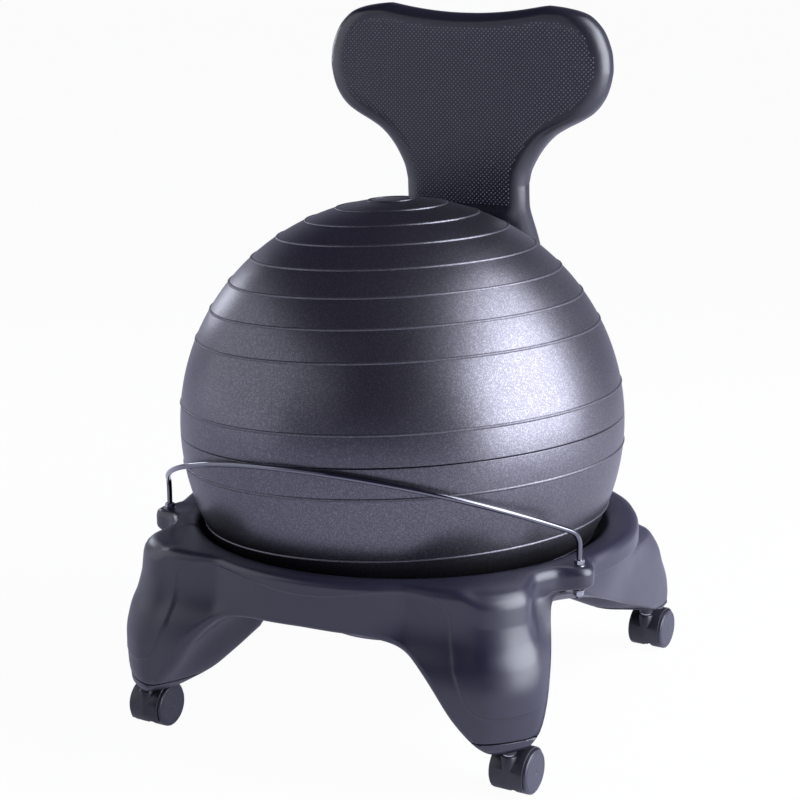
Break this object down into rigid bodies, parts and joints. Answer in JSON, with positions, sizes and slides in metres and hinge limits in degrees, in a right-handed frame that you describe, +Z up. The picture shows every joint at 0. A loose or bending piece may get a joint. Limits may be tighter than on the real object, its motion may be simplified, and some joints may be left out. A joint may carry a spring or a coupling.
{
  "type": "balance ball chair",
  "caption": "Balance ball chair: inflated ball in a four-legged moulded base on twin-wheel casters, with a wire retaining bar and a lobed backrest.",
  "frame": {"origin": "on the floor, under the middle of the chair's bounding box", "axes": "+Z up, +Y towards the backrest, +X to the right seen from the front"},
  "size_m": [0.536, 0.582, 0.792],
  "materials": {
    "base_plastic": "satin",
    "ball_skin": "satin",
    "backrest_plastic": "satin",
    "caster_plastic": "satin",
    "wheel_plastic": "satin",
    "bar_chrome": "polished",
    "zinc_steel": "satin",
    "brass": "satin",
    "plug_plastic": "satin"
  },
  "bodies": {
    "chair_frame": {"base_shell": "base_plastic", "support_bar": "bar_chrome", "backrest_shell": "backrest_plastic", "bar_washer_upper_left": "zinc_steel", "bar_nut_upper_left": "zinc_steel", "bar_washer_lower_left": "zinc_steel", "bar_nut_lower_left": "zinc_steel", "bar_washer_upper_right": "zinc_steel", "bar_nut_upper_right": "zinc_steel", "bar_washer_lower_right": "zinc_steel", "bar_nut_lower_right": "zinc_steel", "threaded_insert_lower_left": "brass", "backrest_washer_lower_left": "zinc_steel", "backrest_bolt_lower_left": "zinc_steel", "threaded_insert_lower_right": "brass", "backrest_washer_lower_right": "zinc_steel", "backrest_bolt_lower_right": "zinc_steel", "threaded_insert_upper_left": "brass", "backrest_washer_upper_left": "zinc_steel", "backrest_bolt_upper_left": "zinc_steel", "threaded_insert_upper_right": "brass", "backrest_washer_upper_right": "zinc_steel", "backrest_bolt_upper_right": "zinc_steel", "foot_cap_front_left": "base_plastic", "caster_socket_front_left": "caster_plastic", "foot_cap_front_right": "base_plastic", "caster_socket_front_right": "caster_plastic", "foot_cap_rear_right": "base_plastic", "caster_socket_rear_right": "caster_plastic", "foot_cap_rear_left": "base_plastic", "caster_socket_rear_left": "caster_plastic"},
    "ball": {"ball": "ball_skin"},
    "valve_plug": {"valve_plug": "plug_plastic"},
    "caster_front_left": {"caster_stem_front_left": "zinc_steel", "caster_hood_front_left": "caster_plastic", "caster_axle_front_left": "zinc_steel"},
    "wheel_front_left_left": {"caster_wheel_front_left_left": "wheel_plastic"},
    "wheel_front_left_right": {"caster_wheel_front_left_right": "wheel_plastic"},
    "caster_front_right": {"caster_stem_front_right": "zinc_steel", "caster_hood_front_right": "caster_plastic", "caster_axle_front_right": "zinc_steel"},
    "wheel_front_right_left": {"caster_wheel_front_right_left": "wheel_plastic"},
    "wheel_front_right_right": {"caster_wheel_front_right_right": "wheel_plastic"},
    "caster_rear_right": {"caster_stem_rear_right": "zinc_steel", "caster_hood_rear_right": "caster_plastic", "caster_axle_rear_right": "zinc_steel"},
    "wheel_rear_right_left": {"caster_wheel_rear_right_left": "wheel_plastic"},
    "wheel_rear_right_right": {"caster_wheel_rear_right_right": "wheel_plastic"},
    "caster_rear_left": {"caster_stem_rear_left": "zinc_steel", "caster_hood_rear_left": "caster_plastic", "caster_axle_rear_left": "zinc_steel"},
    "wheel_rear_left_left": {"caster_wheel_rear_left_left": "wheel_plastic"},
    "wheel_rear_left_right": {"caster_wheel_rear_left_right": "wheel_plastic"}
  },
  "joints": [
    {"name": "ball_turn", "type": "hinge", "parent": "chair_frame", "child": "ball", "pos_m": [0, -0.0265, 0.3334], "axis": [0, 0, 1], "continuous": true},
    {"name": "valve_plug_pull", "type": "slide", "parent": "ball", "child": "valve_plug", "axis": [0, 0, -1], "range_m": [0, 0.02]},
    {"name": "caster_swivel_front_left", "type": "hinge", "parent": "chair_frame", "child": "caster_front_left", "pos_m": [-0.219, -0.2415, 0.05], "axis": [0, 0, 1], "continuous": true},
    {"name": "wheel_roll_front_left_left", "type": "hinge", "parent": "caster_front_left", "child": "wheel_front_left_left", "pos_m": [-0.21723, -0.22309, 0.024], "axis": [0.9954, -0.0958, 0], "continuous": true},
    {"name": "wheel_roll_front_left_right", "type": "hinge", "parent": "caster_front_left", "child": "wheel_front_left_right", "pos_m": [-0.21723, -0.22309, 0.024], "axis": [0.9954, -0.0958, 0], "continuous": true},
    {"name": "caster_swivel_front_right", "type": "hinge", "parent": "chair_frame", "child": "caster_front_right", "pos_m": [0.219, -0.2415, 0.05], "axis": [0, 0, 1], "continuous": true},
    {"name": "wheel_roll_front_right_left", "type": "hinge", "parent": "caster_front_right", "child": "wheel_front_right_left", "pos_m": [0.22077, -0.22309, 0.024], "axis": [0.9954, -0.0958, 0], "continuous": true},
    {"name": "wheel_roll_front_right_right", "type": "hinge", "parent": "caster_front_right", "child": "wheel_front_right_right", "pos_m": [0.22077, -0.22309, 0.024], "axis": [0.9954, -0.0958, 0], "continuous": true},
    {"name": "caster_swivel_rear_right", "type": "hinge", "parent": "chair_frame", "child": "caster_rear_right", "pos_m": [0.219, 0.2265, 0.05], "axis": [0, 0, 1], "continuous": true},
    {"name": "wheel_roll_rear_right_left", "type": "hinge", "parent": "caster_rear_right", "child": "wheel_rear_right_left", "pos_m": [0.22077, 0.24491, 0.024], "axis": [0.9954, -0.0958, 0], "continuous": true},
    {"name": "wheel_roll_rear_right_right", "type": "hinge", "parent": "caster_rear_right", "child": "wheel_rear_right_right", "pos_m": [0.22077, 0.24491, 0.024], "axis": [0.9954, -0.0958, 0], "continuous": true},
    {"name": "caster_swivel_rear_left", "type": "hinge", "parent": "chair_frame", "child": "caster_rear_left", "pos_m": [-0.219, 0.2265, 0.05], "axis": [0, 0, 1], "continuous": true},
    {"name": "wheel_roll_rear_left_left", "type": "hinge", "parent": "caster_rear_left", "child": "wheel_rear_left_left", "pos_m": [-0.21723, 0.24491, 0.024], "axis": [0.9954, -0.0958, 0], "continuous": true},
    {"name": "wheel_roll_rear_left_right", "type": "hinge", "parent": "caster_rear_left", "child": "wheel_rear_left_right", "pos_m": [-0.21723, 0.24491, 0.024], "axis": [0.9954, -0.0958, 0], "continuous": true}
  ]
}
